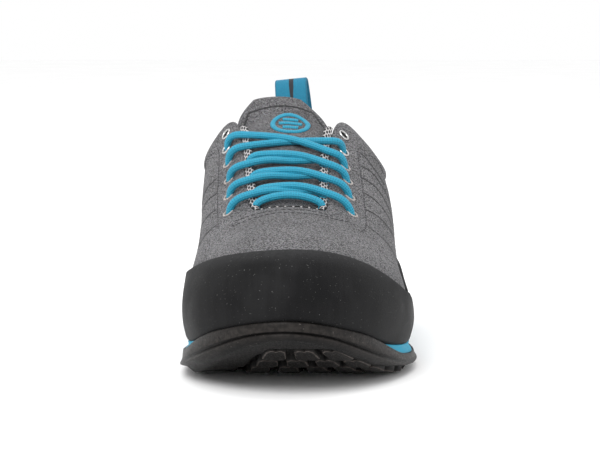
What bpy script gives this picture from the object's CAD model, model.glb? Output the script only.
"""Looks of the left approach shoe: fine suede, rubber, foam, laces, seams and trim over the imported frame.

The toe points along -Y, the heel along +Y and the medial side is at -X. The section table and the sole's
tables repeat the solids' own, so each fine surface lies where its solid does.
"""

import math
from collections import namedtuple

import bmesh
import bpy
import numpy as np
from mathutils import Matrix, Vector


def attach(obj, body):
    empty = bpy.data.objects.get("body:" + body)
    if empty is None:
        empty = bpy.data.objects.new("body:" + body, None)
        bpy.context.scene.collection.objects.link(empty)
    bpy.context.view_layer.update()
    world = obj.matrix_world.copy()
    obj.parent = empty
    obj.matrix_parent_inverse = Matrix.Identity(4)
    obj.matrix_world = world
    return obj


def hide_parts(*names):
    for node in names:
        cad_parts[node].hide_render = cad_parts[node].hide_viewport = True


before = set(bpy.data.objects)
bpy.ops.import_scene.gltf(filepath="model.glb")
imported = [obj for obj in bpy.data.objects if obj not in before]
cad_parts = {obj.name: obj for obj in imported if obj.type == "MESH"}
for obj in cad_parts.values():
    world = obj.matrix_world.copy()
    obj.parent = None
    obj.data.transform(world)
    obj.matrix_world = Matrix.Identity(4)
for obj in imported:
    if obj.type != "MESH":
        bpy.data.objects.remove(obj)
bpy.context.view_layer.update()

MM = 0.001
BODY = "root"

# Driving dimensions of the shoe, in metres.
LENGTH = 296 * MM
BALL_WIDTH = 112 * MM
EAR_HEIGHT = 114 * MM

# The tables below are drawn for this reference size and scaled to the driving dimensions.
REFERENCE_SIZE = (112.0, 296.0, 114.0)

# Clearance between neighbouring pieces, and between the rands and the upper.
GAP = 0.3 * MM
RAND_CLEARANCE = 0.5 * MM

# Thicknesses.
WALL = 2.4 * MM
COLLAR_WALL = 6.5 * MM
RAND_WALL = 2.0 * MM
SIDE_RAND_WALL = 1.4 * MM
TONGUE_WALL = 4.5 * MM
INSOLE_THICKNESS = 3.6 * MM

# One row for each section round the shoe, from the heel's back along the medial side to the toe and back
# along the lateral side. Its cells are points of the outer wall from the sole up, in millimetres: x across,
# s back from the toe tip, z up. A station t counts the rows, and a height share v the points of a row.
Section = namedtuple("Section", "name feather belly shoulder quarter edge")
SECTIONS = [Section(*row) for row in (
    ("heel_back", (-3, 288.5, 26), (-3, 293.7, 44), (-3, 290, 66), (-3, 287, 84), (-3, 287.5, 98)),
    ("heel_medial", (-27, 279, 26), (-31, 282, 42), (-29.5, 279.5, 64), (-28, 277, 80), (-27, 276.5, 93)),
    ("ankle_medial", (-38.5, 246, 25), (-42, 246, 40), (-43.5, 245, 60), (-45.5, 243, 76), (-46.5, 241, 86)),
    ("ear_medial", (-38.5, 207, 22), (-43, 206, 38), (-47, 205, 62), (-50, 204, 83), (-46.5, 206, 99)),
    ("eyelet_medial", (-38.5, 178, 19.5), (-44, 178, 34), (-48, 178, 57), (-49, 180, 81), (-34, 190, 114)),
    ("instep_medial", (-42.5, 147, 16.5), (-47, 146, 29.5), (-49, 145, 51), (-47, 146, 73), (-28, 152, 97)),
    ("throat_medial", (-48, 116, 14.5), (-51.5, 114, 27), (-51, 113, 44), (-46, 112, 63), (-25.5, 116, 81.5)),
    ("ball_medial", (-50.5, 84, 15.5), (-53, 82, 28), (-51.5, 82, 44), (-43, 84, 60), (-21.5, 100.5, 76)),
    ("corner_medial", (-41, 38, 23), (-44, 35, 36), (-39, 41, 54.5), (-26, 60, 67), (-14.5, 97.5, 77)),
    ("toe_tip", (-6, 7.5, 34), (-6, 3, 45), (-6, 17, 61.5), (-6, 50, 71), (-5, 96.5, 77.6)),
    ("corner_lateral", (29, 38, 22), (32.5, 35, 35), (28, 41, 53.5), (17, 60, 66.5), (4.5, 97.5, 77)),
    ("ball_lateral", (47.2, 84, 13.5), (50, 82, 26), (47.5, 82, 42), (37, 84, 58), (11.5, 100.5, 76)),
    ("throat_lateral", (50, 116, 12.5), (52, 114, 25), (48.8, 113, 42), (40, 112, 61), (13.5, 116, 81.5)),
    ("instep_lateral", (46.5, 147, 15), (49.5, 146, 28), (48.2, 145, 49), (41.5, 146, 70), (14.5, 152, 97)),
    ("eyelet_lateral", (43, 178, 18.5), (46, 178, 33), (46.8, 178, 56), (43.8, 180, 79), (20, 190, 114)),
    ("ear_lateral", (41.5, 207, 21.5), (44, 206, 37), (46, 205, 60), (45.2, 204, 81), (35.5, 206, 99)),
    ("ankle_lateral", (40.5, 246, 25), (43, 246, 40), (43, 245, 58), (43.5, 243, 74), (43.5, 241, 84)),
    ("heel_lateral", (23, 280, 26), (26.5, 283, 42), (25, 280.5, 64), (23, 278, 80), (21, 277.5, 93)),
)]
STATIONS = len(SECTIONS)
LOOPS = len(Section._fields) - 1
EDGE = float(LOOPS - 1)
TOE = 9.0

# Height shares of the rands' top edges at the same sections.
TOE_RAND_TOPS = (1.0, 1.0, 1.0, 1.0, 1.2, 1.5, 2.05, 2.27, 2.2,
                 2.16, 2.17, 1.74, 1.56, 1.5, 1.2, 1.0, 1.0, 1.0)
SIDE_RAND_TOPS = (1.2, 1.15, 1.1, 1.3, 1.5, 1.7, 1.75, 1.3, 1.3,
                  1.3, 1.3, 1.3, 1.62, 1.72, 1.62, 1.4, 1.2, 1.15)

# Stations where the toe rand ends on the medial and lateral side, and how far the side rand reaches under it.
TOE_RAND_ENDS = (5.66, 12.06)
RAND_OVERLAP = 0.02

# Both rands: height share of their feet, the roundings of the top edge and the foot in height shares and of
# the ends in stations, and the share of their thickness at the foot. Then their slight waves, their lift off
# the wall and the steps of their fine grid.
RAND_FOOT = -0.01
RAND_EDGE_ROUND = 1.3 / 15
RAND_FOOT_ROUND = 3.0 / 13
RAND_END_ROUND = 0.05
RAND_FOOT_THICKNESS = 0.35
RAND_WAVES = 0.08 * MM
RAND_LIFT = 0.05 * MM
RAND_COLUMN_STEP = 0.03
RAND_FINE_ROWS = 36

# The collar is padded from the ears back: stations from the heel up to which it is full, and where it ends.
PADDING_FULL = 2.6
PADDING_END = 3.9

# One row for each pair of eyelets, the lowest first: stations from the toe tip and height shares.
Eyelets = namedtuple("Eyelets", "medial_station medial_share lateral_station lateral_share")
EYELETS = [Eyelets(*row) for row in (
    (2.86, 3.61, 2.90, 3.61),
    (3.42, 3.64, 3.46, 3.65),
    (3.86, 3.66, 3.84, 3.70),
    (4.26, 3.67, 4.12, 3.75),
    (4.61, 3.70, 4.40, 3.80),
    (4.98, 3.79, 4.76, 3.85),
)]
METAL_ROWS = (5, 6)
METAL_HOLE = 2.35 * MM
PLAIN_HOLE = 2.2 * MM
DRILL_LENGTH = 12 * MM

# Height of the tread above the floor along the shoe, as (s, z): toe spring, flat ball, low arch, flat heel.
TREAD = ((0, 28.5), (12, 22.5), (25, 16), (40, 9.6), (55, 4.8), (70, 1.6), (85, 0.2), (92, 0), (118, 0),
         (128, 0.3), (150, 1.6), (175, 1.8), (198, 0.4), (208, 0), (276, 0), (284, 0.8), (296, 4.5))

# Height of the blue foam flank above the outsole, by station from the heel's back to the toe tip.
FOAM_FLANK = (11.0, 11.0, 11.5, 11.0, 9.5, 7.0, 5.0, 4.2, 3.2, 3.0)

# How far the foam's foot stands out from the feather line, and how much less under the toe bumper.
FOAM_FOOT_OUT = 3.6 * MM
FOAM_FOOT_CUT = 2.2 * MM

# The outsole: how far its edge and its tread stand out from the feather line and how much less at the toe,
# the edge's least drop below the floor, its height above the tread and the tread's least drop below the edge.
# Its floor reaches past the foam in three steps.
SOLE_EDGE_OUT = 6.3 * MM
SOLE_EDGE_CUT = 0.8 * MM
SOLE_TREAD_OUT = 3.2 * MM
SOLE_TREAD_CUT = 1.2 * MM
SOLE_EDGE_DROP = 1.6 * MM
SOLE_EDGE_RISE = 3.8 * MM
SOLE_TREAD_DROP = 0.8 * MM
FLOOR_STEP = 0.4 * MM

# The outsole's bumper round the toe: the height share of its top edge, its wall and its clearance.
BUMPER_SHARE = 0.29
BUMPER_WALL = 1.8 * MM
BUMPER_CLEARANCE = 0.45 * MM

# Rows of tread lugs: s of the row's middle and its depth in millimetres, first and last share of the width.
LugRow = namedtuple("LugRow", "s depth first last count")
LUG_ROWS = [LugRow(*row) for row in (
    (25, 11.5, 0.33, 0.96, 3),
    (38.5, 11, 0.32, 0.97, 4),
    (51.5, 10.5, 0.30, 0.98, 5),
    (65, 11, 0.28, 0.98, 5),
    (79, 11.5, 0.27, 0.98, 5),
    (94.5, 12, 0.03, 0.98, 7),
    (110.5, 12, 0.03, 0.98, 7),
    (126, 11, 0.04, 0.97, 6),
    (200, 11, 0.04, 0.96, 5),
    (215.5, 12, 0.04, 0.96, 5),
    (231.5, 12, 0.04, 0.96, 5),
    (247.5, 12, 0.05, 0.95, 5),
    (263.5, 12, 0.07, 0.93, 4),
    (278.5, 10, 0.12, 0.88, 3),
)]
LUG_HEIGHT = 3.4 * MM
LUG_GAP = 3.2 * MM
LUG_LINE_OUT = 3.4 * MM
LUG_CUT = 1.8 * MM
LUG_NOTCH = 1.7 * MM

# Section down a lug's side: share of its height, then rise and inset in millimetres and how buffed it is.
LugRing = namedtuple("LugRing", "depth rise inset wear")
LUG_PROFILE = [LugRing(*row) for row in (
    (0, 1.2, 0, 0),
    (0.55, 0, 0.3, 0),
    (1, 0.6, 0.55, 0.10),
    (1, 0.15, 0.8, 1.0),
    (1, 0, 1.3, 0.06),
)]

# Low ribs across the arch.
ARCH_RIBS = (141, 152, 163, 174, 185)
RIB_DEPTH = 5.0
RIB_SPAN = (0.12, 0.90)
RIB_HEIGHT = 0.55 * LUG_HEIGHT
RIB_CUT = 1.0 * MM

# The smooth climbing zone under the toe reaches back to s = 16 mm, and to 85 mm on the medial edge.
CLIMBING_END = 16
CLIMBING_EXTRA = 69
SCOOP_DEPTH = 1.2 * MM

# Tongue under the throat: stations from the toe where it starts and where its free top begins, its rows
# there, the height shares of its sides and the rise of its arch. Then its top, as rows in millimetres.
TONGUE_REACH = (2.0, 4.64)
TONGUE_ROWS = 13
TONGUE_SHARES = (3.30, 3.62, 4.0)
TONGUE_RISE = 0.10
TongueRow = namedtuple("TongueRow", "x s z half_width arch")
TONGUE_TOP = [TongueRow(*row) for row in (
    (-8.2, 187, 115.4, 26, 11.5),
    (-9.0, 191, 118.8, 24.5, 8.5),
    (-10.8, 195, 122.8, 20.5, 5.5),
    (-11.8, 198, 126.5, 12.5, 2),
)]

# The lace runs from each eyelet across to the far edge, in pairs of strands that lie on each other.
LACE_DIAMETER = 3.7 * MM
CROSSINGS = 4

# The lace's first run, under the lowest crossing: its station on both sides of the toe, the places where it
# starts and comes up, in from the throat's edge and out from the wall, and its rise, in millimetres.
BAR_PLACE = 2.25
BAR_ENDS = ((1.5, -2.8), (5.0, 0.0))
BAR_ARCH = 3.0

# Pull loop over the heel's collar: it leans out and is turned a little.
LOOP_WIDTH = 18 * MM
LOOP_THICKNESS = 1.3 * MM
LOOP_LEG_SPREAD = 13 * MM
LOOP_LEG_DEPTH = 5 * MM
LOOP_LEG_RISE = 6 * MM
LOOP_TOP = 131.5 * MM
LOOP_SHIFT = (1.6 * MM, 2.0 * MM)
LOOP_LEAN = math.radians(6)
LOOP_YAW = math.radians(-9)


def scaled(points):
    """Table points (x, s, z) as metres in the shoe's frame, at the driving dimensions."""
    size = np.array((BALL_WIDTH, LENGTH, EAR_HEIGHT)) / REFERENCE_SIZE
    return np.asarray(points, float) * size - np.array((0, LENGTH / 2, 0))


def ring_controls(values):
    """Control values of a closed cubic spline that passes through the given values."""
    count = len(values)
    eye = np.eye(count)
    matrix = (4 * eye + np.roll(eye, 1, 0) + np.roll(eye, -1, 0)) / 6
    return np.linalg.solve(matrix, values.reshape(count, -1)).reshape(values.shape)


def line_controls(values):
    """Control values of an open cubic spline through the given values, with one more at each end."""
    count = len(values)
    matrix = np.eye(count)
    for i in range(1, count - 1):
        matrix[i, i - 1:i + 2] = (1 / 6, 4 / 6, 1 / 6)
    inner = np.linalg.solve(matrix, values.reshape(count, -1)).reshape(values.shape)
    return np.concatenate([[2 * inner[0] - inner[1]], inner, [2 * inner[-1] - inner[-2]]])


def spline_weights(share):
    """Weights of the four controls round a span, at a share of the way along it."""
    f = np.asarray(share, float)
    return np.stack([(1 - f) ** 3, 3 * f**3 - 6 * f**2 + 4, -3 * f**3 + 3 * f**2 + 3 * f + 1, f**3], -1) / 6


def wall_controls():
    loops = np.stack([scaled(np.array([row[i] for row in SECTIONS], float)) for i in range(1, 1 + LOOPS)], 1)
    rings = ring_controls(loops)
    return line_controls(rings.transpose(1, 0, 2)).transpose(1, 0, 2)


WALL_CONTROLS = wall_controls()
RAND_TOPS = {"toe": ring_controls(np.array(TOE_RAND_TOPS)), "side": ring_controls(np.array(SIDE_RAND_TOPS))}


def ring_value(controls, t):
    t = np.asarray(t, float)
    start = np.floor(t).astype(int)
    weights = spline_weights(t - start)
    picked = controls[(start[..., None] + np.arange(-1, 3)) % STATIONS]
    return (weights * picked).sum(-1)


def wall(t, v, out=0.0):
    """Point of the upper's outer wall at station t and height share v, moved out by a distance."""
    t, v, out = np.broadcast_arrays(np.asarray(t, float), np.asarray(v, float), np.asarray(out, float))
    start = np.floor(t).astype(int)
    low = np.clip(np.floor(v).astype(int), 0, LOOPS - 2)
    along = spline_weights(t - start)
    up = spline_weights(v - low)
    ring = WALL_CONTROLS[(start[..., None] + np.arange(-1, 3)) % STATIONS]
    patch = np.take_along_axis(ring, (low[..., None] + np.arange(4))[..., None, :, None], axis=-2)
    point = np.einsum("...a,...b,...abc->...c", along, up, patch)
    if np.any(out):
        point = point + wall_normal(t, v) * out[..., None]
    return point


def wall_normal(t, v):
    step = 1e-3
    across = np.cross(wall(t + step, v) - wall(t - step, v), wall(t, v + step) - wall(t, v - step))
    return across / np.linalg.norm(across, axis=-1, keepdims=True)


def sole_line(t, out, z):
    """Point beside the feather line, moved out level by a distance, at height z."""
    t = np.asarray(t, float)
    step = 1e-3
    run = wall(t + step, 0.0) - wall(t - step, 0.0)
    side = np.stack([run[..., 1], -run[..., 0]], -1)
    side /= np.linalg.norm(side, axis=-1, keepdims=True)
    point = wall(t, 0.0).copy()
    point[..., :2] += side * np.asarray(out, float)[..., None]
    point[..., 2] = z
    return point


def table_s(y):
    """Distance back from the toe tip, in the tables' millimetres."""
    return (np.asarray(y) + LENGTH / 2) / LENGTH * REFERENCE_SIZE[1]


def tread_height(y):
    places, heights = np.array(TREAD, float).T
    return np.interp(table_s(y), places, heights) * MM


def smooth_share(x, low, high):
    f = np.clip((np.asarray(x, float) - low) / (high - low), 0, 1)
    return f * f * (3 - 2 * f)


def toe_share(t):
    """1 round the toe, where the outsole wraps up over the rand, and 0 behind the ball."""
    return 1 - smooth_share(np.abs(np.asarray(t, float) - TOE - 0.05), 0.75, 1.75)


def collar_padding(t, v):
    """1 on the padded collar behind the ears, 0 on the plain wall."""
    behind = np.minimum(np.abs(t), np.abs(STATIONS - t))
    length = 1 - smooth_share(behind, PADDING_FULL, PADDING_END)
    return length * smooth_share(v, 2.2, 3.3) * (1 - 0.45 * smooth_share(v, 3.6, EDGE))


def eyelet_places():
    """(side, row, t, v) of each eyelet: row 1 is the lowest, the sides are medial and lateral."""
    pairs = [(side, row) for side in ("medial", "lateral") for row in range(1, 1 + len(EYELETS))]
    return [(side, row, *eyelet_place(side, row)) for side, row in pairs]


def eyelet_place(side, row):
    pair = EYELETS[row - 1]
    if side == "medial":
        return TOE - pair.medial_station, pair.medial_share
    return TOE + pair.lateral_station, pair.lateral_share


def flank(t):
    """Height of the foam flank at each station; both sides of the shoe share one table."""
    from_heel = np.minimum(np.asarray(t, float), STATIONS - np.asarray(t, float))
    return np.interp(from_heel, np.arange(len(FOAM_FLANK)), FOAM_FLANK) * MM


def feather_height(t):
    return wall(t, 0.0)[..., 2]


def foam_edge(t):
    """Distance of the foam's bottom edge out from the feather line: less under the toe bumper."""
    return FOAM_FOOT_OUT - FOAM_FOOT_CUT * toe_share(t)


def blend(plain, wrapped, share):
    return plain + (wrapped - plain) * share[..., None]


def climbing_share(across, y):
    """1 on the smooth zone under the toe, which runs further back on the medial side, else 0."""
    limit = CLIMBING_END + CLIMBING_EXTRA * (1 - smooth_share(across, 0.2, 0.32))
    return 1 - smooth_share(table_s(y), limit - 1, limit + 2)


def lug_spans(row):
    """First and last width share of each lug in a row, with even gaps between them."""
    low, high = width_at(row.s * MM - LENGTH / 2)
    gap = LUG_GAP / (high - low)
    pitch = (row.last - row.first + gap) / row.count
    starts = [row.first + i * pitch for i in range(row.count)]
    return [(start, start + pitch - gap) for start in starts]


def lug_corners(s, depth, first, last):
    """Plan corners of a lug between two shares of the sole's width, medial share first."""
    corners = []
    for edge_s, order in ((s - depth / 2, (first, last)), (s + depth / 2, (last, first))):
        low, high = width_at(edge_s * MM - LENGTH / 2)
        corners += [(low + (high - low) * share, edge_s * MM - LENGTH / 2) for share in order]
    return corners


def width_at(y):
    """x of the tread's medial and lateral edges at a place along the shoe."""
    t = np.linspace(0, STATIONS, 361)
    line = sole_line(t, LUG_LINE_OUT, 0.0)
    medial, lateral = line[t <= TOE][::-1], line[t >= TOE]
    return np.interp(y, medial[:, 1], medial[:, 0]), np.interp(y, lateral[:, 1], lateral[:, 0])


def tongue_rows():
    """Cross rows of the tongue's outer face, from under the vamp to its top: each a list of points."""
    clear = -(WALL + 2 * GAP)
    shares = np.array(TONGUE_SHARES)
    crown = (0.25, 0.5, 0.75)
    rows = []
    for from_toe in np.linspace(*TONGUE_REACH, TONGUE_ROWS):
        medial = wall(TOE - from_toe, shares, clear)
        lateral = wall(TOE + from_toe, shares[::-1], clear)
        low, high = medial[-1], lateral[0]
        rise = TONGUE_RISE * np.linalg.norm(high - low)
        arch = [low * (1 - f) + high * f + np.array((0, 0, 4 * rise * f * (1 - f))) for f in crown]
        rows.append(np.concatenate([medial, arch, lateral]))
    across = np.linspace(-1, 1, len(rows[0]))
    for top in TONGUE_TOP:
        s = np.full(across.shape, float(top.s))
        line = np.stack([top.x + top.half_width * across, s, top.z - top.arch * across**2], -1)
        rows.append(scaled(line))
    return np.array(rows)


def smooth_path(points, count):
    """Points along a smooth curve through the given ones, at even parameter steps."""
    controls = line_controls(np.array(points, float))
    u = np.linspace(0, len(points) - 1, count)
    low = np.clip(np.floor(u).astype(int), 0, len(points) - 2)
    weights = spline_weights(u - low)
    return np.einsum("ua,uac->uc", weights, controls[low[:, None] + np.arange(4)])


def loop_line():
    """Side view of the pull loop from its inner to its outer leg, as points through which it runs."""
    half = LOOP_LEG_SPREAD / 2
    height = LOOP_TOP - wall(0.0, EDGE)[2]
    leg = [(1.0, -LOOP_LEG_DEPTH), (1.0, LOOP_LEG_RISE), (0.9, 0.6 * height), (0.45, 0.93 * height)]
    inner = [(0.0, -half * share, z) for share, z in leg]
    outer = [(0.0, half * share, z) for share, z in reversed(leg)]
    return [*inner, (0.0, 0.0, height), *outer]


def loop_place():
    seat = wall(0.0, EDGE) + np.array((LOOP_SHIFT[0], LOOP_SHIFT[1] - LOOP_LEG_SPREAD / 2, 0))
    turn = Matrix.Rotation(LOOP_YAW, 4, "Z") @ Matrix.Rotation(-LOOP_LEAN, 4, "Y")
    return Matrix.Translation(Vector(seat)) @ turn


def grid_faces(rows, columns, closed=False):
    """Faces of a grid of points, row after row, whose rows close on themselves if asked."""
    faces = []
    for r in range(rows - 1):
        for c in range(columns if closed else columns - 1):
            near, far = r * columns, (r + 1) * columns
            after = (c + 1) % columns
            faces.append((near + c, near + after, far + after, far + c))
    return faces


def apply_modifiers(target):
    """Bakes an object's modifiers into its mesh, as another object's modifiers then need."""
    graph = bpy.context.evaluated_depsgraph_get()
    mesh = bpy.data.meshes.new_from_object(target.evaluated_get(graph))
    target.modifiers.clear()
    target.data = mesh


def ring_solid(name, rings, cross_points, look, lift):
    """Closed solid from rings round the shoe, the upper inner ring first, its ends filled by cross lines.

    lift(end, share, y, z) gives the height of a fill's inner point, at a share of the way across it.
    """
    count = len(rings[0])
    half = count // 2
    points = [p for ring in rings for p in ring]
    faces = [f[::-1] for f in grid_faces(len(rings), count, closed=True)]
    shares = np.arange(1, cross_points + 1) / (cross_points + 1)
    for end in (0, len(rings) - 1):
        first = end * count
        rows = []
        for k in range(half + 1):
            a, b = first + k, first + (count - k) % count
            if a == b or k == half:
                rows.append([first + k])
                continue
            rows.append([a, *range(len(points), len(points) + cross_points), b])
            for share in shares:
                p = points[a] * (1 - share) + points[b] * share
                p[2] = lift(end, share, p[1], p[2])
                points.append(p)
        for near, far in zip(rows, rows[1:]):
            made = strip_faces(near, far)
            faces += made if end == 0 else [f[::-1] for f in made]
    return make_object(name, points, faces, [look])


def strip_faces(near, far):
    """Faces between two rows of point numbers, either of which may be a single point."""
    if len(near) == 1:
        return [(near[0], far[i], far[i + 1]) for i in range(len(far) - 1)]
    if len(far) == 1:
        return [(near[i], far[0], near[i + 1]) for i in range(len(near) - 1)]
    lower = [(near[i], far[i], far[i + 1]) for i in range(len(near) - 1)]
    return lower + [(near[i], far[i + 1], near[i + 1]) for i in range(len(near) - 1)]


# Grid of the fine surfaces: columns round the shoe and rows up its wall.
WALL_COLUMNS = 420
WALL_RISE = 84

# The upper's rounded edge: how far below the edge it starts, as a height share, its reach and its steps.
RIM_START = 0.05
RIM_REACH = 1.4 * MM
RIM_STEPS = 5

# Soft creases and bulges of the suede: station from the toe and height share of both ends, then depth, which
# is negative for a trough, and width in millimetres.
Crease = namedtuple("Crease", "station_a share_a station_b share_b depth width")
CREASES = [Crease(*row) for row in (
    (-2.30, 2.75, -1.10, 3.12, -0.50, 4.5),
    (-1.10, 3.12, 0.90, 3.14, -0.38, 5.0),
    (0.90, 3.14, 2.40, 2.55, -0.50, 4.5),
    (-2.00, 2.55, -0.80, 2.82, 0.38, 5.0),
    (0.60, 2.80, 2.00, 2.40, 0.38, 5.0),
    (3.30, 2.10, 4.60, 2.55, -0.45, 5.0),
    (4.20, 2.00, 5.60, 2.20, 0.40, 6.0),
    (-4.60, 2.45, -3.30, 2.30, -0.45, 5.0),
    (5.40, 2.75, 6.50, 3.05, -0.70, 5.0),
    (-6.50, 3.05, -5.40, 2.70, -0.70, 5.0),
    (5.70, 2.35, 6.90, 2.62, -0.55, 5.5),
    (-6.90, 2.62, -5.70, 2.30, -0.55, 5.5),
)]

# Top-stitched seams, as corners (station, height share). The first two lie across the vamp, the others along
# the facings, and their stations count from the toe tip. Those at the heel count from its back, and are given
# for one side: the counter's two seams and the collar's. The back line is a cut line up the heel.
TOE_SEAMS = (
    ((-1.98, 3.50), (-1.45, 3.66), (-0.62, 3.69), (0.0, 3.69), (0.75, 3.71), (1.75, 3.75), (2.37, 3.60)),
    ((-2.17, 3.62), (-1.65, 3.79), (-0.70, 3.81), (0.0, 3.82), (0.94, 3.85), (2.00, 3.82)),
    ((4.95, 3.62), (4.76, 3.61), (4.19, 3.49), (3.58, 3.40), (3.00, 3.36), (2.59, 3.39), (2.14, 3.43)),
    ((-5.10, 3.58), (-4.66, 3.51), (-4.05, 3.41), (-3.31, 3.38), (-2.40, 3.38)),
)
HEEL_SEAMS = (
    ((0.0, 3.04), (0.8, 3.00), (1.7, 2.85), (2.5, 2.35), (3.1, 1.55)),
    ((0.0, 2.92), (0.8, 2.88), (1.65, 2.72), (2.4, 2.22), (2.95, 1.50)),
    ((0.0, 3.36), (0.8, 3.32), (1.8, 3.30), (2.7, 3.33), (3.4, 3.42), (4.0, 3.52)),
)
BACK_LINE = ((0.0, 1.25), (0.0, 2.0), (0.0, 2.9))
BACK_LINE_WIDTH = 0.6 * MM

# Fine cut lines that sweep down and back from the facings' seams to the rand: six lateral, then four medial.
SIDE_LINES = (
    ((4.84, 3.59), (4.93, 3.50), (4.97, 3.38), (5.05, 3.05)),
    ((4.51, 3.53), (4.72, 3.36), (4.82, 3.09), (4.97, 2.30)),
    ((4.23, 3.50), (4.44, 3.26), (4.50, 2.95), (4.59, 2.15)),
    ((3.91, 3.43), (4.08, 3.13), (4.15, 2.74), (4.24, 2.05)),
    ((3.44, 3.40), (3.66, 3.04), (3.79, 2.45), (3.87, 1.98)),
    ((2.85, 3.37), (2.93, 3.02), (3.11, 2.26), (3.22, 1.80)),
    ((-4.28, 3.40), (-4.38, 3.25), (-4.52, 3.05), (-4.85, 2.20)),
    ((-3.86, 3.38), (-3.98, 3.21), (-4.10, 2.98), (-4.35, 2.10)),
    ((-3.37, 3.36), (-3.48, 3.15), (-3.56, 2.90), (-3.80, 2.15)),
    ((-2.74, 3.35), (-2.82, 3.15), (-2.87, 2.86), (-2.95, 2.38)),
)
SIDE_LINE_WIDTH = 1.05 * MM

# Millimetres along the wall to one station and up it to one height share, near enough to shape creases.
WALL_SCALE = np.array((34.0, 19.0))

# The collar's padded roll: stations from the heel between which it fades, height shares of its foot and over
# which it bulges, and the bulge. Then its seam's height share, width and depth, and the depth of the waves.
ROLL_FADE = (3.2, 4.3)
ROLL_FOOT = 3.32
ROLL_HEIGHT = 0.62
ROLL_BULGE = 1.1
ROLL_SEAM = 3.30
ROLL_SEAM_WIDTH = 0.05
ROLL_SEAM_DEPTH = 0.7
WAVE_DEPTH = 0.16

# Stitches, and how far they stand out of the suede as a share of their radius. The tongue's are finer.
STITCH_PITCH = 3.1 * MM
STITCH_LENGTH = 2.3 * MM
STITCH_RADIUS = 0.3 * MM
STITCH_LIFT = 0.35
STITCH_SHAPE = ((-1, 0.35), (-0.5, 0.85), (0, 1.0), (0.5, 0.85), (1, 0.35))
TONGUE_STITCH_PITCH = 2.8 * MM
TONGUE_STITCH_LENGTH = 2.0 * MM

# Cut lines and seam lines are ribbons just above the suede: their lift and the height of their middle.
LINE_LIFT = 0.14 * MM
LINE_HEIGHT = 0.08 * MM

# Linear colours.
SUEDE_DARK = (0.024, 0.023, 0.025)
SUEDE_LIGHT = (0.168, 0.165, 0.171)
THREAD = (0.030, 0.029, 0.032)
LINE = (0.007, 0.007, 0.008)
RUBBER = (0.0078, 0.0078, 0.0082)
RUBBER_PALE = (0.013, 0.013, 0.0135)
RUBBER_WORN = (0.034, 0.034, 0.035)
DUST = (0.25, 0.25, 0.24)
TREAD_RUBBER = (0.0045, 0.0042, 0.0042)
TREAD_PALE = (0.008, 0.0073, 0.007)
TREAD_WORN = (0.125, 0.108, 0.098)
TREAD_DUST = (0.16, 0.145, 0.135)
FOAM = (0.008, 0.280, 0.430)
FOAM_PALE = (0.012, 0.31, 0.47)
FOAM_DIRT = (0.02, 0.12, 0.17)
CORD = (0.012, 0.255, 0.385)
CORD_PALE = (0.05, 0.34, 0.49)
CORD_GAP = (0.004, 0.095, 0.170)
WEBBING = (0.006, 0.190, 0.315)
WEBBING_PALE = (0.013, 0.235, 0.385)
WEBBING_DARK = (0.003, 0.045, 0.080)
WEBBING_STRIPE = (0.02, 0.022, 0.028)
BEIGE = (0.44, 0.41, 0.39)
BEIGE_DARK = (0.22, 0.20, 0.19)
NET_LIGHT = (0.42, 0.405, 0.405)
NET_DARK = (0.012, 0.012, 0.013)
LINING = (0.018, 0.018, 0.020)
LINING_LIGHT = (0.045, 0.045, 0.048)
FOOTBED = (0.030, 0.031, 0.034)
FOOTBED_LIGHT = (0.085, 0.088, 0.095)
METAL_DARK = (0.38, 0.38, 0.38)
METAL_LIGHT = (0.62, 0.62, 0.61)
PAPER = (0.965, 0.965, 0.965)
PAPER_LIGHT = (0.985, 0.985, 0.985)

# Patterns of the materials: yarns round the cord and cells in each metre of it, the net's cells in each metre
# and how much fewer they are along it, threads in each metre of lining, and how close the rand's streaks are.
BRAID_YARNS = 5
BRAID_CELLS = 420
NET_CELLS = 740.0
NET_STRETCH = 0.41
LINING_THREADS = 620
RAND_STREAKS = (420, 60, 18)


# Materials.

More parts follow.
